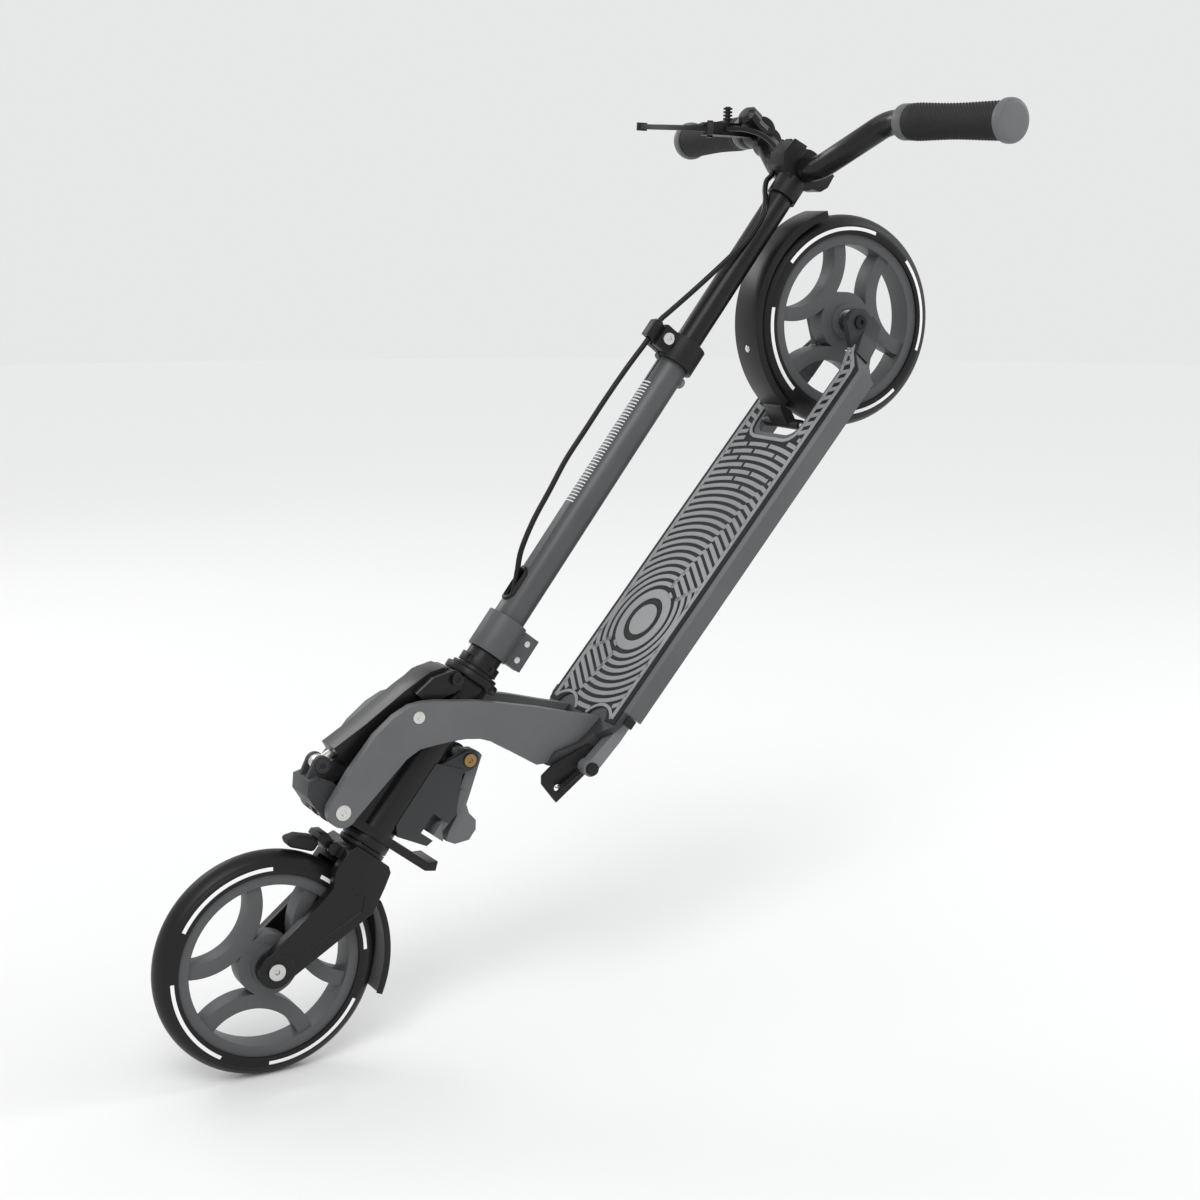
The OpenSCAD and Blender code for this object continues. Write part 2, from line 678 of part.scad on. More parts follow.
// ---- strut and rocker -------------------------------------------------------------------

module strut_body() color("#1d1d1e") difference() {
    strut_frame() difference() {
        union() {
            side_plate(-strut_half, strut_half) polygon([[-9, 15.6], [-10.5, 50], [-15, 95], [-16, 122],
                [-12, 136], [-5, 142], [5, 144.5], [12, 137], [13, 110], [12, 60], [11, 15.6]]);
            side_plate(-23.5, 23.5) polygon([[-10, 100], [-13, 120], [-9, 136], [-4, 141.5], [5, 143.5],
                [10, 138], [10, 131], [6, 114], [-2, 102]]);
        }
        translate([0, 0, 10]) cylinder(r = rod_r + run, h = 70);
        translate([0, 0, strut_len]) cross_pin(4, -30, 30);
        both_sides() translate([0, 0, strut_len]) cross_pin(8, 9, 20.4);
    }
    stem_frame() {
        translate([0, 0, 200]) cylinder(r = head_r + 0.8, h = 99.9);
        both_sides() side_plate(9.6, 18.4) translate([strut_v - 0.4, strut_u - 6.4]) square([20, 12.8]);
        translate([0, 0, head_high]) cylinder(r = cup_r + 0.5, h = 20);
    }
}

module strut_screws() color("#55575a") strut_frame() translate([0, 0, strut_len]) both_sides() {
    cross_pin(2.5, 10.5, 25);
    cross_pin(4, 20.4, 25);
    difference() {
        cross_pin(5.5, 24.5, 27);
        translate([0, 28, 0]) rotate([90, 0, 0]) cylinder(r = 2.4, h = 2.5, $fn = 6);
    }
}

// Rubber spring at the bottom of the strut's bore
module strut_spring() color("#d9c34a") strut_frame() translate([0, 0, 68]) cylinder(r = 4.8, h = 12);

module strut_rod() color("#c9cbcc") strut_frame() difference() {
    union() {
        cross_pin(8, -5.2, 5.2);
        cylinder(r = rod_r, h = 62);
    }
    cross_pin(4.6, -8, 8);
}

module rocker() color("#5e6062") stem_frame() difference() {
    union() {
        both_sides() {
            side_plate(12, 18.5) {
                polygon([[pivot_v, 130], [-66, 133], [-79, 139], [-79, 157], [-66, 160], [-46, 156]]);
                translate([pivot_v, pivot_u]) circle(r = 13);
            }
            translate([pivot_v, 0, pivot_u]) cross_pin(11, 18, 23.6);
            side_plate(5.6, 10) {
                polygon([[-88, 166], [-84, 147], [-72, 146], [-71, 167]]);
                translate([rod_v, rod_u]) circle(r = 8.5);
            }
            translate([rod_v, 0, rod_u]) cross_pin(6.5, 10, 12);
        }
        side_plate(-18.5, 18.5) polygon([[-86, 149], [-79, 138], [-66, 133], [-66, 139], [-76, 146], [-80, 157]]);
        translate([rod_v, 0, rod_u]) cross_pin(4, -11, 11);
    }
    translate([pivot_v, 0, pivot_u]) cross_pin(pin_r + run, -30, 30);
    both_sides() translate([rod_v, 0, rod_u]) rotate([90, 0, 0]) translate([0, 0, 10]) cylinder(r = 2.6, h = 4, $fn = 6);
}

module rocker_buffer() color("#9fa1a3") stem_frame() side_plate(-5, 5)
    polygon([[-66, 139], [-76, 146], [-74, 152], [-66, 150], [-62, 143]]);

// ---- arms -------------------------------------------------------------------------------------

module arm_blank(y0, y1) deck_frame() {
    side_plate(y0, y1) polygon(arm_outline);
    cross_pin(arm_boss, y0, y1);
}

module arm(side) color("#6c6e70") mirror([0, side < 0 ? 1 : 0, 0]) difference() {
    arm_blank(arm_in, arm_out);
    deck_frame() {
        cross_pin(pin_r, 0, pin_half);
        cross_pin(pivot_head_r, pin_half, 40);
        translate([stud_a, 0, stud_b]) {
            cross_pin(stud_r, 0, pin_half);
            cross_pin(stud_head_r, pin_half, 40);
        }
    }
}
module arm_left() arm(-1);
module arm_right() arm(1);

module pivot_pin() color("#a5a7a8") deck_frame() cross_pin(pin_r, -pin_half, pin_half);

// Countersunk screws on both arms, each lock screw with a stud on its inner end
module arm_screws() color("#dcdcda") deck_frame() both_sides() {
    difference() {
        cross_pin(pivot_head_r, pin_half, arm_out + 0.4);
        translate([0, 36, 0]) rotate([90, 0, 0]) cylinder(r = 2.8, h = 3.2, $fn = 6);
    }
    translate([stud_a, 0, stud_b]) difference() {
        union() {
            cross_pin(stud_r, 20, pin_half);
            cross_pin(stud_head_r, pin_half, arm_out + 0.4);
        }
        translate([0, 36, 0]) rotate([90, 0, 0]) cylinder(r = 2.3, h = 3.2, $fn = 6);
    }
}

// ---- deck ---------------------------------------------------------------------------------------

nose_plan = [[138, 36], [160, 39.9], [186, 44], [198, 60], [208, 64.9], [deck_front, 64.9]];
module deck_nose() color("#454648") difference() {
    deck_frame() difference() {
        intersection() {
            side_plate(-70, 70) polygon([[138, -138], [147, -157], [165, -168], [203, deck_b - deck_depth],
                [deck_front, deck_b - deck_depth], [deck_front, deck_b], [196, deck_b], [172, -151], [152, -137]]);
            translate([0, 0, -200]) linear_extrude(height = 100)
                polygon(concat(nose_plan, [for (i = [len(nose_plan) - 1 : -1 : 0]) [nose_plan[i][0], -nose_plan[i][1]]]));
        }
        translate([120, -arm_in, -200]) cube([50, 2 * arm_in, 100]);
        side_plate(-44, -40.2) polygon(stand_plate);
        side_plate(-70, -43.5) polygon([[120, -200], [120, -157], [174, -157], [188, -163.5], [230, -163.5], [230, -200]]);
    }
    both_sides() arm_blank(arm_in, arm_out);
}

// Extruded plank: a top plate, two side walls with bevelled edges and two ribs
module deck_board() color("#7a7c7e") deck_frame() difference() {
    union() {
        for (y = [-deck_half, deck_half - wall, -slot_half - 3.5, slot_half + 0.5])
            translate([deck_front, y, deck_b - deck_depth]) cube([deck_end - deck_front, wall, deck_depth - 3]);
        translate([deck_front, 0, 0]) rotate([90, 0, 90]) linear_extrude(height = deck_end - deck_front)
            polygon([[-deck_half, deck_b - 3], [3 - deck_half, deck_b], [deck_half - 3, deck_b],
                [deck_half, deck_b - 3], [deck_half - wall, deck_b - 3.6], [wall - deck_half, deck_b - 3.6]]);
        both_sides() translate([0, 0, deck_b - deck_depth]) linear_extrude(height = deck_depth) polygon(stay_plan);
    }
    translate([slot_front, -slot_half + slot_corner, -200]) cube([120, 2 * (slot_half - slot_corner), 100]);
    translate([slot_front + slot_corner, -slot_half, -200]) cube([120, 2 * slot_half, 100]);
    for (side = [-1, 1]) translate([slot_front + slot_corner, side * (slot_half - slot_corner), -200])
        cylinder(r = slot_corner, h = 100);
    translate([hinge_a, 0, hinge_b]) cross_pin(3, -50, 50);
}

module side_bumpers() color("#121213") deck_frame() both_sides()
    side_plate(64.9, 67.5) polygon([[206, -171], [206, -161], [215, -161], [215, -171]]);

module grip_tape() color("#97999b") deck_frame() difference() {
    union() {
        translate([201, -tape_half, deck_b]) cube([deck_end - 201, 2 * tape_half, tape_t]);
        both_sides() translate([0, 0, deck_b]) linear_extrude(height = tape_t) polygon([[deck_end - 0.5, 36],
            [deck_end, 36], [622, 27.5], [638, 22.5], [652, 21.5], [652, 23.5], [640, 28], [622, 40],
            [deck_end, tape_half], [deck_end - 0.5, tape_half]]);
    }
    for (side = [-1, 1]) translate([198, side * (arm_in + arm_out) / 2, deck_b - 1]) cylinder(r = 15, h = 5);
    translate([518, -slot_half - 4 + slot_corner, -200]) cube([120, 2 * (slot_half + 4 - slot_corner), 100]);
    translate([518 + slot_corner, -slot_half - 4, -200]) cube([120, 2 * slot_half + 8, 100]);
    for (side = [-1, 1]) translate([518 + slot_corner, side * (slot_half + 4 - slot_corner), -200])
        cylinder(r = slot_corner, h = 100);
}

module dropouts() color("#3c3d3f") deck_frame() both_sides() difference() {
    union() {
        intersection() {
            side_plate(25.5, 33) {
                translate([axle_a, axle_b]) circle(r = 13);
                polygon([[624, deck_b - 2], [641, -134], [658, -136], [664, deck_b - 2]]);
            }
            translate([600, 0, deck_b]) cube([80, 60, 60]);
        }
        intersection() {
            side_plate(24, 50) polygon([[620, -155], [622, -172], [644, -176], [662, -168], [664, -155]]);
            translate([0, 0, -200]) linear_extrude(height = 100) polygon([[622, 42], [640, 30], [656, 25],
                [656, 25.5], [666, 25.5], [666, 33], [648, 33], [642, 35.5], [622, 45]]);
        }
        translate([axle_a, 0, axle_b]) cross_pin(8, 19.5, 26);
    }
    translate([axle_a, 0, axle_b]) {
        cross_pin(axle_r, 0, 50);
        cross_pin(9, 33, 60);
    }
}

// Curved guard over the rear wheel, which also brakes it when it is pressed down
module rear_fender() color("#1b1b1c") deck_frame() {
    translate([axle_a, 0, axle_b]) rotate([90, 0, 0]) rotate([0, 0, 56]) rotate_extrude(angle = 120, $fn = 96) {
        translate([fender_in, -fender_half]) square([fender_t, 2 * fender_half]);
        translate([fender_in - 4, fender_half - 2]) square([4, 2]);
        translate([fender_in - 4, -fender_half]) square([4, 2]);
    }
    difference() {
        union() {
            side_plate(-14, 14) polygon([[533, -160], [536, -150], [540.6, -138.2], [543.6, -138.2], [547, -150],
                [543, -160]]);
            translate([hinge_a, 0, hinge_b]) cross_pin(5, -28, 28);
        }
        translate([hinge_a, 0, hinge_b]) cross_pin(3 + run, -40, 40);
    }
}

module fender_pin() color("silver") deck_frame() translate([hinge_a, 0, hinge_b]) cross_pin(3, -40, 40);

// ---- side stand -------------------------------------------------------------------------------------

module stand_bracket() color("#101011") deck_frame() {
    difference() {
        side_plate(-43.5, -40.2) polygon(stand_plate);
        translate([127, 0, -156]) cross_pin(3.2, -50, -30);
    }
    translate([stand_a, 0, stand_b]) cross_pin(4, -58, -43);
    translate([stand_a, 0, stand_b]) cross_pin(6, -60, -57);
}

module stand_leg() color("#8b8d8f") deck_frame() difference() {
    union() {
        translate([stand_a, 0, stand_b]) cross_pin(7.5, -56.5, -44);
        side_plate(-56, -45) polygon([[stand_a, -172.5], [stand_a, -160], [192, -164.5], [240, -166], [243, -171],
            [240, -176], [192, -175.5]]);
    }
    translate([stand_a, 0, stand_b]) cross_pin(4 + run, -70, -30);
}

fork();
steerer();
headset_nuts();
lower_tube();
stem_collar();
stem_bolts();
cable_grommet();
guide_bush();
height_clamp();
height_button();
cable_clip();
lower_cable();
front_mudguard();
front_axle();
front_tyre();
front_core();
front_bearings();
brake_arm();
brake_pad();
upper_tube();
bar_clamp();
clamp_cap();
clamp_screws();
handlebar();
grips();
grip_rings();
grip_caps();
lever_clamp();
brake_blade();
bell();
upper_cable();
head_tube();
headset_cups();
latch_housing();
latch_pin();
latch_spring();
latch_pedal();
strut_body();
strut_screws();
strut_spring();
strut_rod();
rocker();
rocker_buffer();
arm_left();
arm_right();
pivot_pin();
arm_screws();
deck_nose();
deck_board();
side_bumpers();
grip_tape();
dropouts();
rear_axle();
rear_tyre();
rear_core();
rear_bearings();
rear_fender();
fender_pin();
stand_bracket();
stand_leg();
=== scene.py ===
import bmesh
import bpy
import json
import math
from mathutils import Matrix, Vector


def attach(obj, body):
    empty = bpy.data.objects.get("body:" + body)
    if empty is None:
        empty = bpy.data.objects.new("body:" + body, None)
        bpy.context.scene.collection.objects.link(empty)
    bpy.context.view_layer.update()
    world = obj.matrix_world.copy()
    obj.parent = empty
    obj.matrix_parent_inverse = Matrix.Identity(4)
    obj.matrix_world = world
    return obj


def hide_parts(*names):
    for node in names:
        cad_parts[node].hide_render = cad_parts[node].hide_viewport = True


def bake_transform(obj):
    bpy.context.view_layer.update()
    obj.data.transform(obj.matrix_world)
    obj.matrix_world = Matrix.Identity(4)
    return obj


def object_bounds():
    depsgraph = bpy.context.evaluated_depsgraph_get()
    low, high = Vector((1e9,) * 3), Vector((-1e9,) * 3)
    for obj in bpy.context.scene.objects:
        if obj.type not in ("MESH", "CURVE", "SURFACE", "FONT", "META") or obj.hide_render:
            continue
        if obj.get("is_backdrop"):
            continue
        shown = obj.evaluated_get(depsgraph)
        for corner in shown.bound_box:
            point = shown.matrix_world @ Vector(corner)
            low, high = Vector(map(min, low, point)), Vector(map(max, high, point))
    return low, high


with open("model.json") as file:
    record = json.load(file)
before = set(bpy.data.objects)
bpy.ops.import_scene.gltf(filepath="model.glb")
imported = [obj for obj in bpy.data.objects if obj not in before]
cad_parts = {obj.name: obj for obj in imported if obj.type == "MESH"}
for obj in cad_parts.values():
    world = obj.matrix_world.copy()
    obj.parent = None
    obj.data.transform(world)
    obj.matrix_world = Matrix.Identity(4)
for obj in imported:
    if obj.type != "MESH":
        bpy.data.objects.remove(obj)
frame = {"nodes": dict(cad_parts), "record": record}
cad_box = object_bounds()

# ---- Studio ------------------------------------------------------------------
# A pale floor under the front wheel, an even surround, three large soft lights
# whose strips show in the gloss of the tubes, and a weak broad sun.

bpy.ops.object.select_all(action="DESELECT")
camera_place, camera_aim = (-0.5452, -1.5623, 0.7284), Vector((0.4807, 0.8566, -0.1874))
lens_mm, sensor_mm, nearest_m = 59.7, 36, 0.01
bpy.ops.object.camera_add(location=camera_place)
camera = bpy.context.object
camera.rotation_mode = "QUATERNION"
camera.rotation_quaternion = camera_aim.to_track_quat("-Z", "Y")
camera.data.lens = lens_mm
camera.data.sensor_width = sensor_mm
camera.data.clip_start = nearest_m
bpy.context.scene.camera = camera

surround_colour, surround_strength = (0.93, 0.935, 0.94, 1), 0.86
world = bpy.data.worlds.new("surround")
bpy.context.scene.world = world
world.use_nodes = True
world.node_tree.nodes["Background"].inputs["Color"].default_value = surround_colour
world.node_tree.nodes["Background"].inputs["Strength"].default_value = surround_strength
bpy.context.scene.view_settings.view_transform = "Standard"

floor_colour, floor_rough, floor_radius = (0.82, 0.82, 0.82, 1), 0.9, 9
bpy.ops.mesh.primitive_circle_add(vertices=96, radius=floor_radius, fill_type="NGON", location=(0.3, 0, 0))
floor = bpy.context.object
floor.name = "floor"
floor_paper = bpy.data.materials.new("floor_paper")
floor_paper.use_nodes = True
paper_shader = floor_paper.node_tree.nodes["Principled BSDF"]
paper_shader.inputs["Base Color"].default_value = floor_colour
paper_shader.inputs["Roughness"].default_value = floor_rough
floor.data.materials.append(floor_paper)
floor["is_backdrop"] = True

lit_centre = Vector((0.3, 0, 0.45))
for name, place, size, power in (
    ("key", (-1.6, -1.9, 2.3), (0.7, 1.8), 16),
    ("rim", (2.4, -0.6, 1.6), (0.4, 1.8), 12),
    ("back", (-0.6, 2.4, 1.9), (1.6, 0.5), 12),
):
    bpy.ops.object.light_add(type="AREA", location=place)
    lamp = bpy.context.object
    lamp.name = name
    lamp.data.shape = "RECTANGLE"
    lamp.data.size, lamp.data.size_y = size
    lamp.data.energy = power
    lamp.rotation_euler = (lit_centre - lamp.location).to_track_quat("-Z", "Y").to_euler()
bpy.ops.object.light_add(type="SUN", location=(0, 0, 4))
day = bpy.context.object
day.name = "day"
day.rotation_euler = (math.radians(32), math.radians(-18), 0)
day.data.energy = 0.75
day.data.angle = math.radians(30)

# ---- Fork ----------------------------------------------------------------------
# Cast alloy fork in gloss black paint. Its edges are broken, and the paint has
# the faint ripple of a sprayed coat.

coat_rough, low_specular = 0.12, 0.25
cloud_scale, cloud_detail, cloud_low, cloud_high = 14, 4, 0.35, 0.65
gloss_spread, grain_detail, grain_depth = 0.15, 2, 0.0004
edge_low, edge_high = 0.53, 0.6

def finish_material(name, colour, rough, metallic=0.0, coat=0.0, grain=900, bump=0.05,
                    spread=0.06, wear=0.0):
    """One painted, moulded or plated finish, with slight clouding, fine grain and rubbed edges."""
    made = bpy.data.materials.new(name)
    made.use_nodes = True
    nodes, links = made.node_tree.nodes, made.node_tree.links
    shader = nodes["Principled BSDF"]
    shader.inputs["Metallic"].default_value = metallic
    shader.inputs["Coat Weight"].default_value = coat
    shader.inputs["Coat Roughness"].default_value = coat_rough
    shader.inputs["Specular IOR Level"].default_value = low_specular
    place = nodes.new("ShaderNodeTexCoord")
    cloud = nodes.new("ShaderNodeTexNoise")
    cloud.inputs["Scale"].default_value = cloud_scale
    cloud.inputs["Detail"].default_value = cloud_detail
    links.new(place.outputs["Object"], cloud.inputs["Vector"])
    shade = nodes.new("ShaderNodeValToRGB")
    low = [c * (1 - spread) for c in colour]
    high = [min(1, c * (1 + spread)) for c in colour]
    shade.color_ramp.elements[0].position = cloud_low
    shade.color_ramp.elements[0].color = (*low, 1)
    shade.color_ramp.elements[1].position = cloud_high
    shade.color_ramp.elements[1].color = (*high, 1)
    links.new(cloud.outputs["Fac"], shade.inputs["Fac"])
    base = shade.outputs["Color"]
    if wear:
        edge = nodes.new("ShaderNodeNewGeometry")
        rub = nodes.new("ShaderNodeMapRange")
        rub.inputs["From Min"].default_value = edge_low
        rub.inputs["From Max"].default_value = edge_high
        rub.inputs["To Max"].default_value = wear
        links.new(edge.outputs["Pointiness"], rub.inputs["Value"])
        worn = nodes.new("ShaderNodeMix")
        worn.data_type = "RGBA"
        worn.inputs["B"].default_value = (*[min(1, c * 1.5 + 0.05) for c in colour], 1)
        links.new(rub.outputs["Result"], worn.inputs["Factor"])
        links.new(base, worn.inputs["A"])
        base = worn.outputs["Result"]
    links.new(base, shader.inputs["Base Color"])
    gloss = nodes.new("ShaderNodeMapRange")
    gloss.inputs["To Min"].default_value = rough * (1 - gloss_spread)
    gloss.inputs["To Max"].default_value = rough * (1 + gloss_spread)
    links.new(cloud.outputs["Fac"], gloss.inputs["Value"])
    links.new(gloss.outputs["Result"], shader.inputs["Roughness"])
    fine = nodes.new("ShaderNodeTexNoise")
    fine.inputs["Scale"].default_value = grain
    fine.inputs["Detail"].default_value = grain_detail
    links.new(place.outputs["Object"], fine.inputs["Vector"])
    relief = nodes.new("ShaderNodeBump")
    relief.inputs["Strength"].default_value = bump
    relief.inputs["Distance"].default_value = grain_depth
    links.new(fine.outputs["Fac"], relief.inputs["Height"])
    links.new(relief.outputs["Normal"], shader.inputs["Normal"])
    return made


def only(piece):
    """Selects one object and nothing else."""
    bpy.ops.object.select_all(action="DESELECT")
    piece.select_set(True)
    bpy.context.view_layer.objects.active = piece


def finished(piece, name, material, body, slot, *nodes):
    """Names a finished piece, gives it its material, and seats it on its body in place of CAD nodes."""
    piece.name = name
    piece.data.name = name
    piece.data.materials.clear()
    piece.data.materials.append(material)
    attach(piece, body)
    if nodes:
        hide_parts(*nodes)
    return piece


def rounded(node, edge, material, body, slot, segments=2, angle=30, name=None):
    """A copy of a CAD node's mesh with its sharp edges rounded, as a casting or a moulding has them."""
    source = frame["nodes"][node]
    piece = bpy.data.objects.new(name or node + "_finished", source.data.copy())
    bpy.context.collection.objects.link(piece)
    only(piece)
    bpy.ops.object.mode_set(mode="EDIT")
    bpy.ops.mesh.select_all(action="SELECT")
    bpy.ops.mesh.remove_doubles(threshold=0.00001)
    bpy.ops.mesh.dissolve_limited(angle_limit=math.radians(0.6))
    bpy.ops.object.mode_set(mode="OBJECT")
    bpy.ops.object.modifier_add(type="BEVEL")
    bevel = piece.modifiers[-1]
    bevel.width = edge
    bevel.segments = segments
    bevel.limit_method = "ANGLE"
    bevel.angle_limit = math.radians(angle)
    bevel.harden_normals = False
    bpy.ops.object.modifier_apply(modifier=bevel.name)
    bpy.ops.object.shade_smooth_by_angle(angle=math.radians(32))
    return finished(piece, piece.name, material, body, slot, node)


black_paint = finish_material("black_paint", (0.006, 0.006, 0.0065), 0.33, coat=0.08, grain=420, bump=0.04)
black_metal = finish_material("black_metal", (0.008, 0.008, 0.0085), 0.38, grain=700, bump=0.06)
bright_steel = finish_material("bright_steel", (0.62, 0.62, 0.6), 0.26, metallic=1, grain=420, bump=0.08)
rounded("fork", 0.0022, black_paint, "column", "gloss_black", segments=3)
rounded("steerer", 0.0004, bright_steel, "column", "bright_steel")
rounded("headset_nuts", 0.0006, black_metal, "column", "black_plastic")
rounded("front_axle", 0.0005, bright_steel, "column", "bright_steel")

# ---- Front brake and mudguard ---------------------------------------------------
# A cast lever with a rubbery pad that presses on the tyre, and a thin moulded
# splash guard screwed under the crown.

black_moulding = finish_material("black_moulding", (0.009, 0.009, 0.0095), 0.42, grain=1100, bump=0.12)
pad_rubber = finish_material("pad_rubber", (0.012, 0.012, 0.013), 0.6, grain=800, bump=0.25)
rounded("brake_arm", 0.0009, black_metal, "front_brake", "black_plastic")
rounded("brake_pad", 0.003, pad_rubber, "front_brake", "grip_rubber", segments=4)
rounded("front_mudguard", 0.0007, black_moulding, "column", "black_plastic")

# ---- Head tube ------------------------------------------------------------------
# A forged black head with two wings for the fold pivot and a base flange,
# closed by the pressed headset cups.

rounded("head_tube", 0.0016, black_paint, "head", "gloss_black", segments=3)
rounded("headset_cups", 0.0012, black_metal, "head", "black_plastic")

# ---- Latch ----------------------------------------------------------------------
# A dark grey cast housing behind the head tube, with a lighter cast pedal on a
# yellow-plated bolt and a coil spring behind it.

dark_casting = finish_material("dark_casting", (0.034, 0.035, 0.037), 0.46, grain=1300, bump=0.16, wear=0.12)
pedal_casting = finish_material("pedal_casting", (0.125, 0.128, 0.134), 0.44, metallic=0.2, grain=1200,
                                bump=0.14)
yellow_plate = finish_material("yellow_plate", (0.3, 0.2, 0.09), 0.32, metallic=1, grain=420, bump=0.08,
                               spread=0.15)
rounded("latch_housing", 0.0013, dark_casting, "head", "dark_grey", segments=3)
rounded("latch_pin", 0.0005, yellow_plate, "head", "bronze_steel")
rounded("latch_pedal", 0.0018, pedal_casting, "latch", "pedal_grey", segments=3)

joints = {joint["name"]: joint for joint in frame["record"]["behaviour"]["joints"]}
stem_up = Vector(joints["steering"]["axis"])
stem_back = Vector((stem_up.z, 0, -stem_up.x))
stem_foot = Vector(joints["steering"]["pos_m"])


def on_stem(v, y, u):
    """A place beside the stem: v to the rear of the steering axis, y to the right, u up it, in millimetres."""
    return stem_foot + (stem_back * v + stem_up * u + Vector((0, y, 0))) / 1000


def wire(name, points, radius, material, body, slot, sides=4):
    """A round wire or cord through the given points, closed at both ends."""
    path = bpy.data.curves.new(name, "CURVE")
    path.dimensions = "3D"
    path.bevel_depth = radius
    path.bevel_resolution = sides
    path.use_fill_caps = True
    line = path.splines.new("POLY")
    line.points.add(len(points) - 1)
    for place, point in zip(line.points, points):
        place.co = (*point, 1)
    piece = bpy.data.objects.new(name, path)
    bpy.context.collection.objects.link(piece)
    only(piece)
    bpy.ops.object.convert(target="MESH")
    bpy.ops.object.shade_smooth_by_angle(angle=math.radians(50))
    piece = bpy.context.object
    if body:
        return finished(piece, name, material, body, slot)
    piece.name = name
    piece.data.materials.append(material)
    return piece


def coil(foot, along, side, radius, length, turns):
    """Points of a coil spring from its foot, with its first turn starting towards side."""
    across, per_turn = along.cross(side), 20
    count = turns * per_turn
    return [foot + along * (length * k / count) + (side * math.cos(k * math.tau / per_turn)
            + across * math.sin(k * math.tau / per_turn)) * radius for k in range(count + 1)]


coil_radius, coil_length, coil_turns, coil_wire = 0.0045, 0.0085, 4, 0.0007
latch_coil = wire("latch_coil", coil(on_stem(30.2, 0, 200), stem_back, stem_up, coil_radius,
                                     coil_length, coil_turns), coil_wire, bright_steel, "head", "bright_steel")
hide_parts("latch_spring")

# ---- Strut ----------------------------------------------------------------------
# A smooth black cast strut that holds the rubber suspension spring, screwed to
# the head tube on top, with a bright rod down to the rocker.

yellow_elastomer = finish_material("yellow_elastomer", (0.62, 0.42, 0.05), 0.5, grain=600, bump=0.1)
dark_screw = finish_material("dark_screw", (0.03, 0.03, 0.032), 0.3, metallic=0.8, grain=400, bump=0.05)
rounded("strut_body", 0.0045, black_paint, "head", "gloss_black", segments=5, angle=38)
rounded("strut_screws", 0.0006, dark_screw, "head", "bright_steel")
rounded("strut_spring", 0.0006, yellow_elastomer, "head", "spring_rubber")
rounded("strut_rod", 0.0006, bright_steel, "rod", "bright_steel")

# ---- Rocker ---------------------------------------------------------------------
# Two grey plates joined by a foot plate. They pass the deck's load to the
# strut's rod through a round pin, with a rubber buffer between them.

grey_powder = finish_material("grey_powder", (0.112, 0.114, 0.118), 0.46, grain=1500, bump=0.14, wear=0.08)
buffer_grey = finish_material("buffer_grey", (0.3, 0.305, 0.31), 0.55, grain=700, bump=0.1)
rounded("rocker", 0.0026, dark_casting, "rocker", "arm_grey", segments=3)
rounded("rocker_buffer", 0.001, buffer_grey, "rocker", "grey_plastic")

# ---- Lower stem -----------------------------------------------------------------
# A satin anodised tube with a printed height scale, held in a split collar and
# topped by the moulded height clamp with its spring button.

tube_grey = finish_material("tube_grey", (0.088, 0.09, 0.094), 0.38, metallic=0.35, grain=1500, bump=0.06)
collar_grey = finish_material("collar_grey", (0.088, 0.09, 0.094), 0.44, metallic=0.2, grain=1300, bump=0.1)
nylon = finish_material("nylon", (0.68, 0.68, 0.65), 0.45, grain=500, bump=0.05)
button_grey = finish_material("button_grey", (0.2, 0.205, 0.21), 0.4, grain=700, bump=0.06)
scale_print = finish_material("scale_print", (0.72, 0.73, 0.74), 0.5, grain=700, bump=0.03)
rounded("lower_tube", 0.0003, tube_grey, "column", "satin_grey_tube")
rounded("stem_collar", 0.0014, collar_grey, "column", "satin_grey_tube", segments=3)
rounded("stem_bolts", 0.0005, bright_steel, "column", "bright_steel")
rounded("cable_grommet", 0.0005, black_moulding, "column", "black_plastic")
rounded("guide_bush", 0.0003, nylon, "column", "nylon")
rounded("height_clamp", 0.0016, black_moulding, "column", "black_plastic", segments=3)
rounded("height_button", 0.0006, button_grey, "button", "grey_plastic")
rounded("cable_clip", 0.0009, black_moulding, "column", "black_plastic")

tick_first, tick_pitch, tick_count = 484.6, 3.35, 40
tick_half, tick_rise, tube_radius = 0.55, 0.12, 15.0
tick_middle, tick_reach, tick_steps = math.radians(181), math.radians(27), 8
tick_sunk = 0.05
tick_outline = ((tube_radius - tick_sunk, -tick_half), (tube_radius + tick_rise, -tick_half),
                (tube_radius + tick_rise, tick_half), (tube_radius - tick_sunk, tick_half))
scale_mesh = bmesh.new()
for tick in range(tick_count):
    rings = []
    for step in range(tick_steps + 1):
        turn = tick_middle - tick_reach + 2 * tick_reach * step / tick_steps
        rings.append([scale_mesh.verts.new(on_stem(r * math.cos(turn), r * math.sin(turn),
                      tick_first + tick_pitch * tick + h)) for r, h in tick_outline])
    for one, two in zip(rings, rings[1:]):
        for k in range(4):
            scale_mesh.faces.new((one[k], one[(k + 1) % 4], two[(k + 1) % 4], two[k]))
    scale_mesh.faces.new(rings[0][::-1])
    scale_mesh.faces.new(rings[-1])


def from_bmesh(name, mesh, material, body, slot, *nodes, smooth=30):
    """Turns a finished bmesh into a piece, with its faces pointing outwards."""
    bmesh.ops.recalc_face_normals(mesh, faces=mesh.faces)
    data = bpy.data.meshes.new(name)
    mesh.to_mesh(data)
    mesh.free()
    piece = bpy.data.objects.new(name, data)
    bpy.context.collection.objects.link(piece)
    only(piece)
    bpy.ops.object.shade_smooth_by_angle(angle=math.radians(smooth))
    return finished(piece, name, material, body, slot, *nodes)


from_bmesh("height_scale", scale_mesh, scale_print, "column", "satin_grey_tube")

# ---- T-bar ----------------------------------------------------------------------
# A gloss black tube that slides in the stem, with a bent handlebar held in a
# split clamp by two long screws.

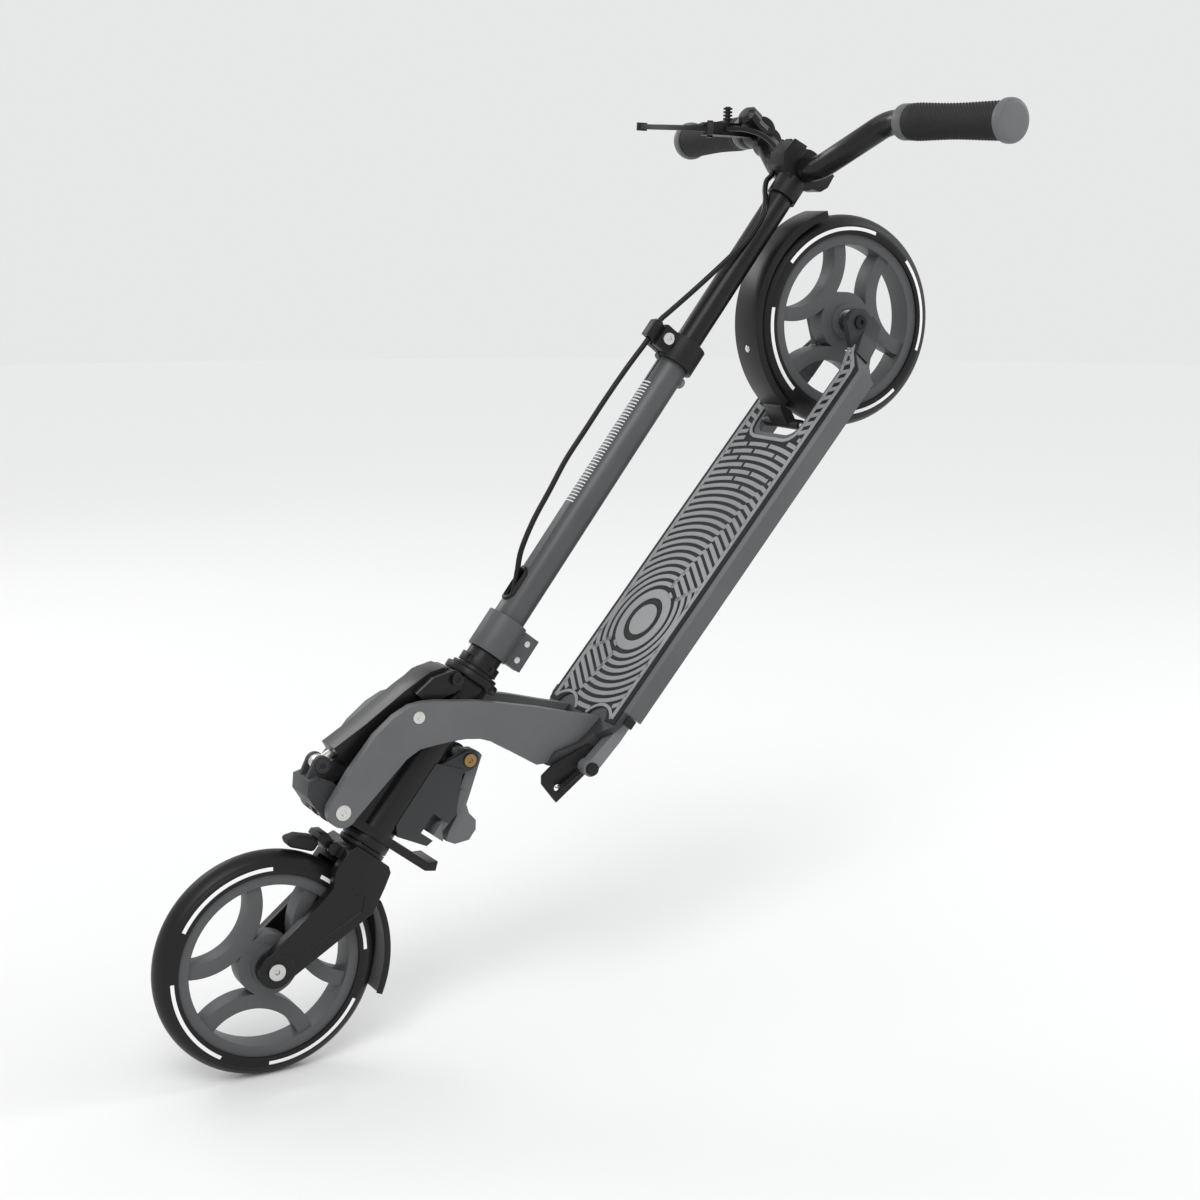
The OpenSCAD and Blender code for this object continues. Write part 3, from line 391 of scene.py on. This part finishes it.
rounded("upper_tube", 0.0003, black_paint, "t_bar", "gloss_black")
rounded("bar_clamp", 0.0022, black_moulding, "t_bar", "gloss_black", segments=3)
rounded("clamp_cap", 0.0022, black_moulding, "t_bar", "black_plastic", segments=3)
rounded("clamp_screws", 0.0004, dark_screw, "t_bar", "bright_steel")
rounded("handlebar", 0.0003, black_paint, "t_bar", "gloss_black")

# ---- Grips ----------------------------------------------------------------------
# Soft charcoal rubber with a fine raised diamond pattern, slim in the middle
# and full near the outer end, between a grey clamp ring and a grey end cap.

grip_rubber = finish_material("grip_rubber", (0.014, 0.014, 0.015), 0.55, grain=1200, bump=0.2)
ring_grey = finish_material("ring_grey", (0.115, 0.118, 0.123), 0.42, grain=900, bump=0.08)
cap_grey = finish_material("cap_grey", (0.14, 0.143, 0.149), 0.42, grain=900, bump=0.08)
rounded("grip_rings", 0.0018, ring_grey, "t_bar", "grey_plastic", segments=3)
rounded("grip_caps", 0.0024, cap_grey, "t_bar", "grey_plastic", segments=4)

bar_elbow, bar_end = Vector((-5, 103, 912.5)), Vector((8, 253, 917))
grip_from, grip_to = 31.3, 144.1
grip_full, grip_slim, bar_radius = 16.3, 15.1, 11.15
diamonds_round, diamonds_along, diamond_rise = 26, 30, 0.42
ring_points, rows, edge_share = 156, 180, 14
slim_outer, slim_taper, relief_gain, skin_sunk = 1.25, 0.6, 1.6, 0.25
grip_mesh = bmesh.new()
for side in (-1, 1):
    start = on_stem(bar_elbow.x, side * bar_elbow.y, bar_elbow.z)
    along = (on_stem(bar_end.x, side * bar_end.y, bar_end.z) - start).normalized()
    up = (stem_up - along * stem_up.dot(along)).normalized()
    over = along.cross(up)
    skin = []
    for row in range(rows + 1):
        share = row / rows
        swell = 0.5 - 0.5 * math.cos(math.tau * share)
        radius = grip_full - (grip_full - grip_slim) * swell * (slim_outer - slim_taper * share)
        edge = min(1, share * edge_share, (1 - share) * edge_share)
        ring = []
        for k in range(ring_points):
            turn = k * math.tau / ring_points
            one = math.cos(diamonds_round * turn / 2 + diamonds_along * math.pi * share)
            two = math.cos(diamonds_round * turn / 2 - diamonds_along * math.pi * share)
            height = diamond_rise * edge * (1 - max(abs(one), abs(two)) ** 3) * relief_gain - skin_sunk
            reach = (radius + height) / 1000
            ring.append(grip_mesh.verts.new(start + along * (grip_from + (grip_to - grip_from) * share) / 1000
                        + (up * math.cos(turn) + over * math.sin(turn)) * reach))
        skin.append(ring)
    for distance in (grip_to, grip_from):
        skin.append([grip_mesh.verts.new(start + along * distance / 1000
                     + (up * math.cos(k * math.tau / ring_points) + over * math.sin(k * math.tau / ring_points))
                     * bar_radius / 1000) for k in range(ring_points)])
    for one, two in zip(skin, skin[1:] + skin[:1]):
        for k in range(ring_points):
            n = (k + 1) % ring_points
            grip_mesh.faces.new((one[k], one[n], two[n], two[k]))
from_bmesh("ribbed_grips", grip_mesh, grip_rubber, "t_bar", "grip_rubber", "grips", smooth=60)

# ---- Brake lever and bell -------------------------------------------------------
# A black clamp with a long pressed blade on the right, and a small round bell
# beside it, both tightened round the handlebar.

bell_black = finish_material("bell_black", (0.007, 0.007, 0.0075), 0.26, coat=0.2, grain=300, bump=0.03)
rounded("lever_clamp", 0.0012, black_metal, "t_bar", "black_plastic", segments=3)
rounded("brake_blade", 0.0014, black_metal, "brake_lever", "black_plastic", segments=3)
rounded("bell", 0.0016, bell_black, "t_bar", "black_plastic", segments=3)

# ---- Brake cable ----------------------------------------------------------------
# A black plastic-covered cable from the lever down the front of the stem, held
# by a clip at the height clamp, and in through a rubber lip to the front brake.

cable_black = finish_material("cable_black", (0.006, 0.006, 0.0065), 0.32, grain=500, bump=0.04)
cable_radius = 0.0025
clip_v = -36
cable_top = [(-44, 86.5, 883), (-37, 70, 887.5), (-27.5, 52, 888), (-19, 37, 883), (-13, 24, 874.5),
             (-14, 18.5, 864), (-13.5, 14.5, 851), (-17.5, 9, 840), (-17, 3, 830), (-14.5, -5, 819),
             (-11.5, -10, 804), (-12, -11, 777), (-17.5, -9, 748), (-26, -4.5, 709), (-33, -1, 680),
             (clip_v, 0, 668), (clip_v, 0, 656)]
cable_low = [(clip_v, 0, 655.7), (clip_v, 0, 642), (-38, 0, 612), (-39, 0, 577), (-39, 0, 544),
             (-39, 0, 512), (-36, 0, 482), (-33, 0, 450), (-27, 0, 422), (-19, 0, 405),
             (-12, 0, 390), (-7, 0, 370), (-6, 0, 340), (-6, 0, 220), (-6, 0, 109)]


def smooth_route(places, steps):
    """Points on one smooth curve through the given places beside the stem."""
    p = [on_stem(*place) for place in places]
    route = []
    for i in range(len(p) - 1):
        a, b, c, d = p[max(i - 1, 0)], p[i], p[i + 1], p[min(i + 2, len(p) - 1)]
        for k in range(steps):
            t = k / steps
            route.append(0.5 * (2 * b + (c - a) * t + (2 * a - 5 * b + 4 * c - d) * t * t
                                + (3 * b - a - 3 * c + d) * t ** 3))
    return route + [p[-1]]


route_steps = 6
low_run = wire("cable_to_brake", smooth_route(cable_low, route_steps), cable_radius, cable_black, "column",
               "black_plastic")
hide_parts("lower_cable")
top_run = wire("cable_to_lever", smooth_route(cable_top, route_steps), cable_radius, cable_black, None,
               "black_plastic")
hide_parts("upper_cable")
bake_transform(top_run)

# ---- Arms -----------------------------------------------------------------------
# Two grey powder-coated plates from the fold pivot to the deck, with a large
# countersunk screw on the pivot and a smaller one on each lock stud.

rounded("arm_left", 0.0013, grey_powder, "deck", "arm_grey", segments=3)
rounded("arm_right", 0.0013, grey_powder, "deck", "arm_grey", segments=3)
rounded("pivot_pin", 0.0004, bright_steel, "deck", "bright_steel")
rounded("arm_screws", 0.0005, bright_steel, "deck", "bright_steel")

# ---- Deck -----------------------------------------------------------------------
# A grey extruded plank in a dark cast nose, with a charcoal rubber mat on top
# whose raised light ridges circle a disc, jog across two wedges and break up
# into bricks towards the rear wheel's slot.

board_grey = finish_material("board_grey", (0.105, 0.107, 0.111), 0.42, metallic=0.2, grain=1300, bump=0.1)
mat_black = finish_material("mat_black", (0.016, 0.016, 0.017), 0.7, grain=1400, bump=0.4)
ridge_grey = finish_material("ridge_grey", (0.27, 0.273, 0.278), 0.62, grain=1600, bump=0.35, spread=0.1)
rounded("deck_nose", 0.0024, dark_casting, "deck", "dark_grey", segments=3)
rounded("deck_board", 0.0009, board_grey, "deck", "arm_grey")
rounded("side_bumpers", 0.0008, black_moulding, "deck", "black_plastic")
rounded("grip_tape", 0.0004, mat_black, "deck", "grip_tape")

mounts = {mount["name"]: mount for mount in frame["record"]["mounts"]}
deck_up = Vector(mounts["deck_top"]["axis"])
deck_back = Vector((deck_up.z, 0, -deck_up.x))
fold_pivot = Vector(joints["deck_fold"]["pos_m"])
mat_top, ridge_rise, ridge_ease, ridge_sunk = -155.8, 0.9, 0.3, 0.1


def on_deck(a, y, b):
    """A place on the deck: a to the rear of the fold pivot, y to the right, b up from it, in millimetres."""
    return fold_pivot + (deck_back * a + deck_up * b + Vector((0, y, 0))) / 1000


def ridge(mesh, outline):
    """One raised ridge of the mat over a flat outline of (a, y) places, with its top edge eased."""
    rings = []
    for height, ease in ((-ridge_sunk, 0), (ridge_rise - ridge_ease, 0), (ridge_rise, ridge_ease)):
        ring = []
        count = len(outline)
        for k in range(count):
            here = Vector(outline[k])
            before, after = Vector(outline[k - 1]), Vector(outline[(k + 1) % count])
            d1, d2 = (here - before).normalized(), (after - here).normalized()
            inward = Vector((-d1.y - d2.y, d1.x + d2.x))
            if inward.length > 0.01:
                here = here + inward.normalized() * ease * turn_sign(outline)
            ring.append(mesh.verts.new(on_deck(here.x, here.y, mat_top + height)))
        rings.append(ring)
    for one, two in zip(rings, rings[1:]):
        for k in range(len(one)):
            n = (k + 1) % len(one)
            mesh.faces.new((one[k], one[n], two[n], two[k]))
    mesh.faces.new(rings[-1])
    mesh.faces.new(rings[0][::-1])


def turn_sign(outline):
    """1 for an outline that turns left, -1 for one that turns right."""
    area = sum(p[0] * q[1] - q[0] * p[1] for p, q in zip(outline, outline[1:] + outline[:1]))
    return 1 if area > 0 else -1


def band(mesh, path, width):
    """A ridge of even width along a path of (a, y) places."""
    left, right = [], []
    for k, here in enumerate(path):
        along = (Vector(path[min(k + 1, len(path) - 1)]) - Vector(path[max(k - 1, 0)])).normalized()
        across = Vector((-along.y, along.x)) * width / 2
        left.append(tuple(Vector(here) + across))
        right.append(tuple(Vector(here) - across))
    ridge(mesh, left + right[::-1])


def from_disc(reach, turn):
    """The place at this reach and turn from the mat's round centre."""
    return disc_a + reach * math.cos(turn), reach * math.sin(turn)


def on_field(a, y, odd):
    """Whether a place is on the light field: between the rails, outside bays, slot and brick cuts."""
    in_bay = math.hypot(a - bay_a, abs(y) - bay_y) < bay_r + bay_gap
    by_slot = a > slot_line - slot_gap and abs(y) < slot_side
    in_cut = a > brick_from and min(abs(y - cut) for cut in brick_cuts[odd]) < cut_half
    return abs(y) < rail_y and mat_front < a < mat_rear and not (in_bay or by_slot or in_cut)


disc_a, disc_r, ring_r, ring_w, disc_points, ring_steps = 304, 17, 29, 10, 48, 30
tab_r, tab_w, tab_step = 34.5, 4, 0.05
ridge_w, ridge_pitch, first_ridge, ridge_count, path_step = 4.5, 8.15, 40.8, 23, 2.2
wedge_middle, wedge_half = math.radians(-30.5), math.radians(16.5)
fade_from, fade_to = 90, 190
spoke_reaches, spoke_w = (first_ridge - 1, 52, 64), 4
rail_y, rail_w, mat_front, mat_rear = 53, 4.6, 204, 524
bay_a, bay_y, bay_r, bay_w, bay_gap = 189.5, 32, 25, 3.2, 2
slot_line, slot_side, slot_w, slot_gap = 516, 38.5, 3.6, 3
brick_from, brick_cuts, cut_half = 455, ((-44, -9, 25), (-28, 10, 42)), 0.7
ridge_mesh = bmesh.new()
ridge(ridge_mesh, [from_disc(disc_r, k * math.tau / disc_points) for k in range(disc_points)])
for half in (0, math.pi):
    ring_path = [from_disc(ring_r, half + k * math.pi / ring_steps) for k in range(ring_steps + 1)]
    band(ridge_mesh, ring_path, ring_w)
    band(ridge_mesh, [from_disc(tab_r, half + wedge_middle + k * tab_step) for k in range(-2, 4)], tab_w)
    for edge in (-wedge_half, wedge_half):
        spoke = half + wedge_middle + edge
        band(ridge_mesh, [from_disc(reach, spoke) for reach in spoke_reaches], spoke_w)
    for number in range(ridge_count):
        reach = first_ridge + number * ridge_pitch
        jog = ridge_pitch / 2 * max(0, 1 - max(0, reach - fade_from) / (fade_to - fade_from))
        path, steps = [], int(math.pi * reach / path_step)
        for k in range(steps + 1):
            turn = wedge_middle - math.pi / 2 + math.pi * k / steps
            away = turn - wedge_middle
            bent = reach
            if abs(away) < wedge_half:
                fade = min(1, jog / (ridge_pitch / 2))
                flat = math.cos(wedge_half) / math.cos(away)
                bent = (reach + jog) * (1 + fade * (flat - 1))
            place = from_disc(bent, half + turn)
            if on_field(*place, number % 2):
                path.append(place)
                continue
            if len(path) > 3:
                band(ridge_mesh, path, ridge_w)
            path = []
        if len(path) > 3:
            band(ridge_mesh, path, ridge_w)
stay_from, stay_pitch, stay_bars, bar_w, bar_lean = 528, 10.2, 11, 4.6, 2
taper_from, taper_outer, taper_inner = 602, 0.86, 0.55
for side in (-1, 1):
    bay = [(bay_a + bay_r * math.cos(math.radians(deg)), side * (bay_y + bay_r * math.sin(math.radians(deg))))
           for deg in range(-62, 58, 6)]
    band(ridge_mesh, bay, bay_w)
    band(ridge_mesh, [(205, side * rail_y), (400, side * rail_y), (598, side * rail_y), (606, side * 51.5),
                      (621, side * 36.8), (639, side * 25.8), (650, side * 23)], rail_w)
    band(ridge_mesh, [(slot_line, 0), (slot_line, side * 24), (518, side * 31), (523, side * 36.4),
                      (531, side * 39), (540, side * 39.4), (600, side * 39.4), (605, side * 37.5),
                      (622, side * 29.5), (640, side * 23.2), (650, side * 22.4)], slot_w)
    for bar in range(stay_bars):
        a = stay_from + bar * stay_pitch
        back = max(0, a - taper_from) * taper_outer
        inner, outer = side * (40 - back * taper_inner), side * (52 - back)
        band(ridge_mesh, [(a - bar_lean, inner), (a + bar_lean, outer)], bar_w)
from_bmesh("mat_ridges", ridge_mesh, ridge_grey, "deck", "grip_tape")

# ---- Rear end -------------------------------------------------------------------
# Dark cast dropouts bolted outside the stays carry the axle, and a smooth black
# fender springs on its own pin in front of the wheel, riveted through its skirt.

rounded("dropouts", 0.0016, dark_casting, "deck", "dark_grey", segments=3)
rounded("rear_axle", 0.0005, dark_screw, "deck", "bright_steel")
rounded("fender_pin", 0.0005, bright_steel, "deck", "bright_steel")
fender_black = finish_material("fender_black", (0.008, 0.008, 0.0085), 0.36, grain=800, bump=0.05)
rounded("rear_fender", 0.0011, fender_black, "fender", "black_plastic", segments=3)

rear_axle_place = Vector(joints["rear_wheel_spin"]["pos_m"])
rivet_turn, rivet_reach, rivet_radius, rivet_flat = math.radians(143), 0.1071, 0.0034, 0.4
outward = deck_back * math.cos(rivet_turn) + deck_up * math.sin(rivet_turn)
bpy.ops.object.select_all(action="DESELECT")
bpy.ops.mesh.primitive_uv_sphere_add(segments=32, ring_count=16, radius=rivet_radius)
rivet = bpy.context.object
rivet_facing = outward.to_track_quat("Z", "Y").to_matrix().to_4x4()
rivet.data.transform(rivet_facing @ Matrix.Diagonal((1, 1, rivet_flat, 1)))
rivet.data.transform(Matrix.Translation(rear_axle_place + outward * rivet_reach))
bpy.ops.object.shade_smooth()
finished(rivet, "fender_rivet", bright_steel, "fender", "bright_steel")

# ---- Wheels ---------------------------------------------------------------------
# Cast polyurethane tyres with four printed white arcs a side, bonded on grey
# moulded cores, turning on sealed ball bearings.

tyre_black = finish_material("tyre_black", (0.007, 0.007, 0.0075), 0.4, grain=700, bump=0.08)
stripe_white = finish_material("stripe_white", (0.82, 0.82, 0.81), 0.4, grain=500, bump=0.02, spread=0.02)
core_grey = finish_material("core_grey", (0.08, 0.082, 0.085), 0.44, grain=1000, bump=0.12)
bearing_steel = finish_material("bearing_steel", (0.5, 0.5, 0.49), 0.3, metallic=1, grain=500, bump=0.05)
tyre_middle, tyre_round, rim_radius, tyre_inset, tyre_steps = 85, 15, 81.5, 0.02, 48
groove_turn, groove_half, groove_depth = 62, 2.5, 0.35


def turned(name, outline, centre, start, end, steps, material, body, slot, *nodes):
    """A closed outline of (radius, y) places spun about a wheel's axle, all the way round or in part."""
    mesh = bmesh.new()
    rings = []
    whole = end - start > math.tau - 0.001
    for k in range(steps if whole else steps + 1):
        turn = start + (end - start) * k / steps
        rings.append([mesh.verts.new(centre + Vector((r * math.cos(turn), y, r * math.sin(turn))) / 1000)
                      for r, y in outline])
    for one, two in zip(rings, rings[1:] + rings[:1] if whole else rings[1:]):
        for k in range(len(outline)):
            n = (k + 1) % len(outline)
            mesh.faces.new((one[k], one[n], two[n], two[k]))
    if not whole:
        mesh.faces.new(rings[0])
        mesh.faces.new(rings[-1][::-1])
    return from_bmesh(name, mesh, material, body, slot, *nodes, smooth=40)


tyre_outline = []
bead_turn = math.acos((rim_radius - tyre_middle) / tyre_round)
for k in range(tyre_steps + 1):
    turn = -bead_turn + 2 * bead_turn * k / tyre_steps
    groove = groove_depth if abs(abs(math.degrees(turn)) - groove_turn) < groove_half else 0.0
    tyre_outline.append((tyre_middle + (tyre_round - tyre_inset - groove) * math.cos(turn),
                         (tyre_round - tyre_inset - groove) * math.sin(turn)))
stripe_low, stripe_high, stripe_sunk, stripe_rise = 85.4, 88.6, 0.1, 0.06
stripe_gaps = {"front": (72, 165, 252, 345), "rear": (55, 155, 240, 325)}
gap_half, wheel_steps, stripe_steps = 15, 160, 40
for end, centre in (("front", Vector(joints["front_wheel_spin"]["pos_m"])), ("rear", rear_axle_place)):
    body = end + "_wheel"
    turned(end + "_tyre_cast", tyre_outline, centre, 0, math.tau, wheel_steps, tyre_black, body,
           "wheel_rubber", end + "_tyre")
    gaps = stripe_gaps[end]
    for side in (-1, 1):
        for k in range(4):
            first = math.radians(gaps[k] + gap_half)
            last = math.radians(gaps[(k + 1) % 4] + (360 if k == 3 else 0) - gap_half)
            skin = []
            for reach in (tyre_round - stripe_sunk, tyre_round + stripe_rise):
                across = [stripe_low + (stripe_high - stripe_low) * j / 4 for j in range(5)]
                skin.append([(r, side * math.sqrt(reach ** 2 - (r - tyre_middle) ** 2)) for r in across])
            turned(f"{end}_stripe_{'left' if side < 0 else 'right'}_{k + 1}", skin[0] + skin[1][::-1], centre,
                   first, last, stripe_steps, stripe_white, body, "wheel_rubber")
    rounded(end + "_core", 0.0018, core_grey, body, "grey_plastic", segments=3)
    rounded(end + "_bearings", 0.0004, bearing_steel, body, "bright_steel")

# ---- Side stand -----------------------------------------------------------------
# A black steel plate screwed to the nose, with a cast leg that swings on its
# bolt and a black coil spring from the plate's hole.

stand_alloy = finish_material("stand_alloy", (0.17, 0.173, 0.178), 0.44, metallic=0.3, grain=1000, bump=0.14)
rounded("stand_bracket", 0.0006, black_metal, "deck", "black_plastic")
rounded("stand_leg", 0.002, stand_alloy, "stand", "stand_alloy", segments=3)
spring_from, spring_to = on_deck(128, -46.6, -156), on_deck(150, -46.6, -163)
spring_run = spring_to - spring_from
spring_line = spring_run.normalized()
spring_radius, spring_turns, spring_wire = 0.0026, 11, 0.0006
spring_points = coil(spring_from, spring_line, Vector((0, 1, 0)), spring_radius, spring_run.length,
                     spring_turns)
hook = [on_deck(127, -39.6, -156), on_deck(127, -45, -156)]
wire("stand_coil", hook + spring_points, spring_wire, black_metal, "deck", "black_plastic", sides=2)

size = [[list(v) for v in cad_box], [list(v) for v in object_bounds()]]
